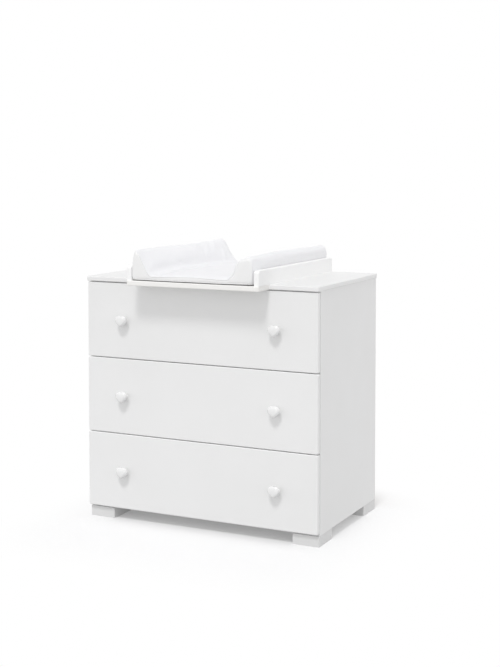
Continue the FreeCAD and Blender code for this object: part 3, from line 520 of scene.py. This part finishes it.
LENGTHS = 14
stations = [(y / 1000 / MAT_LENGTH, drawn) for y, drawn in ROLL_FRONT]
stations += [(step / LENGTHS, 0) for step in range(1, LENGTHS)]
stations += [(1 - y / 1000 / MAT_LENGTH, drawn) for y, drawn in reversed(ROLL_BACK)]
shape = bmesh.new()
ring = bmesh.ops.create_circle(shape, cap_ends=False, segments=len(CUT_FRONT), radius=1)["verts"]
rings = []
for share, drawn in stations:
    ring = grow_ring(shape, ring) if rings else ring
    for v, point in zip(ring, mat_cut(share, drawn)):
        v.co = on_mat(point, share)
    rings.append(ring)
shape.faces.new(rings[0])
shape.faces.new(rings[-1])
bmesh.ops.recalc_face_normals(shape, faces=shape.faces)
mat = mesh_object("changing_mat", shape)


def shaped_mesh(piece):
    """The mesh that an object has after its modifiers."""
    return bpy.data.meshes.new_from_object(piece.evaluated_get(bpy.context.evaluated_depsgraph_get()))


def settled(piece):
    """Gives a piece the mesh that its modifiers make, and removes them."""
    made = shaped_mesh(piece)
    piece.modifiers.clear()
    piece.data = made


def eased(piece, rounds, factor=0.5):
    """Smooths a piece's whole mesh."""
    shape = bmesh.new()
    shape.from_mesh(piece.data)
    for _ in range(rounds):
        bmesh.ops.smooth_vert(shape, verts=shape.verts, factor=factor, use_axis_x=True, use_axis_y=True,
                              use_axis_z=True)
    shape.to_mesh(piece.data)
    shape.free()


# the room between the rails in metres across, the slack behind the mat before the batten, and how
# far the mat may bulge over the rails, before its front end and over the batten; the bulge comes in
# over a rise above each upper edge
MAT_LEFT, MAT_RIGHT, BACK_SLACK = -0.2196, 0.2592, 0.0006
BULGE_LEFT, BULGE_RIGHT, BULGE_FRONT, BULGE_BACK, BULGE_RISE = 0.004, 0.005, 0.003, 0.01, 0.01


def kept_in(place):
    """Keeps a point of the mat off the boards, the rails and the batten; above them it may bulge."""
    over_rail = ramp(place.z, RAIL_TOP, BULGE_RISE)
    over_batten = ramp(place.z, BATTEN_TOP, BULGE_RISE)
    left, right = MAT_LEFT - BULGE_LEFT * over_rail, MAT_RIGHT + BULGE_RIGHT * over_rail
    back = MAT_BACK + BACK_SLACK + BULGE_BACK * over_batten
    return Vector((min(max(place.x, left), right), min(max(place.y, MAT_FRONT - BULGE_FRONT), back),
                   max(place.z, MAT_REST)))


# a skin of even small cells, swelled by a short cloth simulation while its underside is held
SKIN_CELL, HELD_HEIGHT, CLOTH_TICKS = 0.0063, 0.002, 20
remesh = mat.modifiers.new("skin", "REMESH")
remesh.mode = "VOXEL"
remesh.voxel_size = SKIN_CELL
settled(mat)
eased(mat, 2)
starts = [v.co.copy() for v in mat.data.vertices]
held = mat.vertex_groups.new(name="held")
held.add([v.index for v in mat.data.vertices if v.co.z < MAT_REST + HELD_HEIGHT], 1.0, "ADD")
cloth = mat.modifiers.new("cloth", "CLOTH")
settings = cloth.settings
settings.quality = 5
settings.mass = 0.25
settings.tension_stiffness = 30
settings.compression_stiffness = 30
settings.shear_stiffness = 6
settings.bending_stiffness = 0.2
settings.use_pressure = True
settings.uniform_pressure_force = 0.75
settings.shrink_min = -0.012
settings.effector_weights.gravity = 0
settings.vertex_group_mass = "held"
cloth.collision_settings.use_collision = False
cloth.collision_settings.use_self_collision = False
for tick in range(1, CLOTH_TICKS + 1):
    bpy.context.scene.frame_set(tick)
settled(mat)
bpy.context.scene.frame_set(1)
# the swelling stops at a largest move, and close to the ends, which their panels hold flat, only a
# share of it is taken
MOST_MOVED, END_HOLD, END_SHARE = 0.009, 0.07, 0.15
for v, start in zip(mat.data.vertices, starts):
    move = v.co - start
    from_end = min(start.y - MAT_FRONT, MAT_BACK - start.y)
    eager = END_SHARE + (1 - END_SHARE) * ramp(from_end, 0, END_HOLD)
    v.co = kept_in(start + move * eager * min(1, MOST_MOVED / max(move.length, 1e-6)))
smooth = mat.modifiers.new("smooth", "SUBSURF")
smooth.levels = smooth.render_levels = 1
settled(mat)

# soft pulls in the cloth of the left bolster and the middle: from one point to another across and
# along the mat, how far the pull stands up and how wide it is, in millimetres
PULLS = (((-190, 104), (-154, 30), 2.1, 9), ((-176, 172), (-138, 92), 1.9, 8),
         ((-184, 244), (-142, 152), 2.4, 9), ((-160, 272), (-116, 206), 1.9, 8),
         ((-170, 308), (-130, 268), 1.8, 8), ((-150, 122), (-112, 72), 1.2, 7),
         ((-172, -40), (-134, -130), 1.0, 10), ((-100, 236), (-30, 168), 0.9, 10),
         ((96, 180), (138, 250), 1.2, 8), ((120, -60), (141, 20), 0.9, 8))
# beside each pull runs a trough: its share of the pull's height, and how many widths aside it lies
TROUGH_SHARE, TROUGH_ASIDE = 0.5, 1.7
# the seams' depth and width, and the puckers along them: height, step and width, in millimetres
SEAM_DEPTH, SEAM_WIDTH, PUCKER, PUCKER_STEP, PUCKER_WIDTH = 1.6, 2.8, 0.35, 19, 11
# only cloth that faces upwards and lies clear of the boards is pulled
FACES_UP, CLEAR_OF_BOARDS = 0.15, 0.008


def bell(aside, width):
    """1 in the middle of a ridge, falling to nothing beside it."""
    return math.exp(-(aside / width) ** 2)


normals = [n.vector.copy() for n in mat.data.vertex_normals]
for v, normal in zip(mat.data.vertices, normals):
    if normal.z < FACES_UP or v.co.z < MAT_REST + CLEAR_OF_BOARDS:
        continue
    across, along = v.co.x * 1000, v.co.y * 1000
    share = ramp(v.co.y, MAT_FRONT, MAT_LENGTH)
    raised = 0.0
    for foot in (LEFT_FOOT, RIGHT_FOOT):
        aside = across - CUT_FRONT[foot][0] * (1 - share) - CUT_BACK[foot][0] * share
        raised -= SEAM_DEPTH * bell(aside, SEAM_WIDTH)
        raised += PUCKER * math.sin(along / PUCKER_STEP * math.tau) * bell(aside, PUCKER_WIDTH)
    for start, end, height, width in PULLS:
        pull = Vector(end) - Vector(start)
        reach = Vector((across, along)) - Vector(start)
        gone = reach.dot(pull) / pull.length_squared
        if 0 < gone < 1:
            aside = reach.cross(pull) / pull.length
            raised += height * math.sin(math.pi * gone) * (
                bell(aside, width) - TROUGH_SHARE * bell(aside - TROUGH_ASIDE * width, width))
    v.co = kept_in(v.co + normal * raised / 1000)
mat.data.shade_smooth()

# the cover: tightly woven, coated and wiped smooth, so it shines softly and shows its fine weave
THREADS = 380
cover, tree, cloth_shader = new_finish("mat_cover")
cloth_shader.inputs["Specular IOR Level"].default_value = 0.4
cloth_shader.inputs["Sheen Weight"].default_value = 0.12
cloth_shader.inputs["Sheen Roughness"].default_value = 0.4
place = coordinates(tree)
clouds = noise(tree, place, 7.0, 3.0)
tone = mixed(tree, spread(tree, clouds, *NOISE_SPAN), (0.93, 0.93, 0.942), (0.905, 0.905, 0.918))
weave = None
for direction in ("X", "Y", "Z"):
    threads = tree.nodes.new("ShaderNodeTexWave")
    threads.bands_direction = direction
    threads.inputs["Scale"].default_value = THREADS
    threads.inputs["Distortion"].default_value = 0.6
    tree.links.new(place, threads.inputs["Vector"])
    if weave is None:
        weave = threads.outputs["Fac"]
    else:
        both = tree.nodes.new("ShaderNodeMath")
        tree.links.new(weave, both.inputs[0])
        tree.links.new(threads.outputs["Fac"], both.inputs[1])
        weave = both.outputs[0]
tone = mixed(tree, spread(tree, weave, 0.6, 2.4, 0.12, 0.0), tone, (0.72, 0.725, 0.75))
# the two end panels, picked out by facing along the mat, are painted slightly greyer and less blue: painted
# shade on these faces
facing = tree.nodes.new("ShaderNodeSeparateXYZ")
tree.links.new(coordinates(tree, "Normal"), facing.inputs[0])
end_panel_shade = tree.nodes.new("ShaderNodeMath")
end_panel_shade.operation = "ABSOLUTE"
tree.links.new(facing.outputs["Y"], end_panel_shade.inputs[0])
tone = mixed(tree, spread(tree, end_panel_shade.outputs[0], 0.6, 0.85, 0.0, 0.8), tone, (0.9, 0.9, 0.89))
tree.links.new(tone, cloth_shader.inputs["Base Color"])
tree.links.new(spread(tree, noise(tree, place, 30.0, 3.0), *NOISE_SPAN, 0.42, 0.55),
               cloth_shader.inputs["Roughness"])
bumped(tree, cloth_shader, weave, 0.3, 0.00012)
mat.data.materials.clear()
mat.data.materials.append(cover)
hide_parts("mat_middle", "mat_bolster_left", "mat_bolster_right")
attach(mat, "mat")

# the welts: a cord under the cloth, run round the rim of each end panel, where it stands a little
# proud of the cover
WELT_RADIUS, WELT_STEP, WELT_PROUD, WELT_ROUNDS = 0.0012, 8, 0.0006, 3
surface_shape = bmesh.new()
surface_shape.from_mesh(mat.data)
surface = BVHTree.FromBMesh(surface_shape)
surface_shape.free()
for end, share in (("front", 0.0), ("back", 1.0)):
    trace = []
    for start, stop in around(mat_cut(share)):
        parts = max(1, round((stop - start).length / WELT_STEP))
        for part in range(parts):
            at, normal = surface.find_nearest(on_mat(start.lerp(stop, part / parts), share))[:2]
            trace.append(at + normal * WELT_PROUD)
    for _ in range(WELT_ROUNDS):
        trace = [(before + at * 2 + after) / 4
                 for before, at, after in zip(trace[-1:] + trace[:-1], trace, trace[1:] + trace[:1])]
    line = bpy.data.curves.new(f"mat_welt_{end}", "CURVE")
    line.dimensions = "3D"
    line.bevel_depth = WELT_RADIUS
    line.bevel_resolution = 3
    line.resolution_u = 2
    path = line.splines.new("NURBS")
    path.points.add(len(trace) - 1)
    for knot, at in zip(path.points, trace):
        inner = min(max(at.x, MAT_LEFT + WELT_RADIUS), MAT_RIGHT - WELT_RADIUS) if at.z < RAIL_TOP else at.x
        knot.co = (inner, at.y, max(at.z, MAT_REST + WELT_RADIUS), 1)
    path.use_cyclic_u = True
    path.order_u = 3
    welt_line = new_object("welt_line", line)
    mesh = shaped_mesh(welt_line)
    bpy.data.objects.remove(welt_line)
    welt = new_object(f"mat_welt_{end}", mesh)
    welt.data.shade_smooth()
    welt.data.materials.clear()
    welt.data.materials.append(cover)
    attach(welt, "mat")
